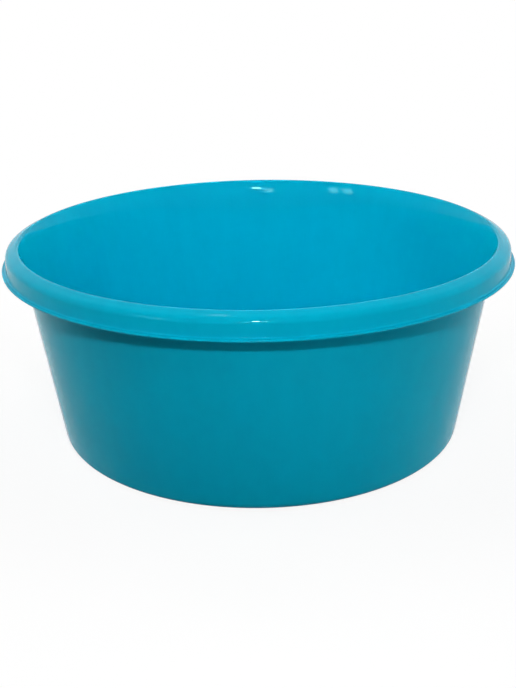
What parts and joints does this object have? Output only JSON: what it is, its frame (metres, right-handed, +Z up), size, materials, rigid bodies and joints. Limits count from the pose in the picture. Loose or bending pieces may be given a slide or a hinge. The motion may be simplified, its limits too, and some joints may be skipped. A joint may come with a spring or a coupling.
{
  "type": "basin",
  "caption": "Round open plastic basin with tapered wall, sloping rolled rim with turned-out lip, finger channel under the rim and a foot ring round a raised floor.",
  "frame": {"origin": "on the basin's axis, at the level that its foot ring stands on", "axes": "+Z up along the basin's axis, out of its open mouth; X and Y are alike, with a rib under the rim 22.5 degrees to each side of each of them"},
  "size_m": [0.38, 0.38, 0.1514],
  "materials": {
    "plastic": "glossy moulded polypropylene, turquoise blue all through"
  },
  "bodies": {
    "root": {"basin": "plastic"}
  },
  "joints": []
}
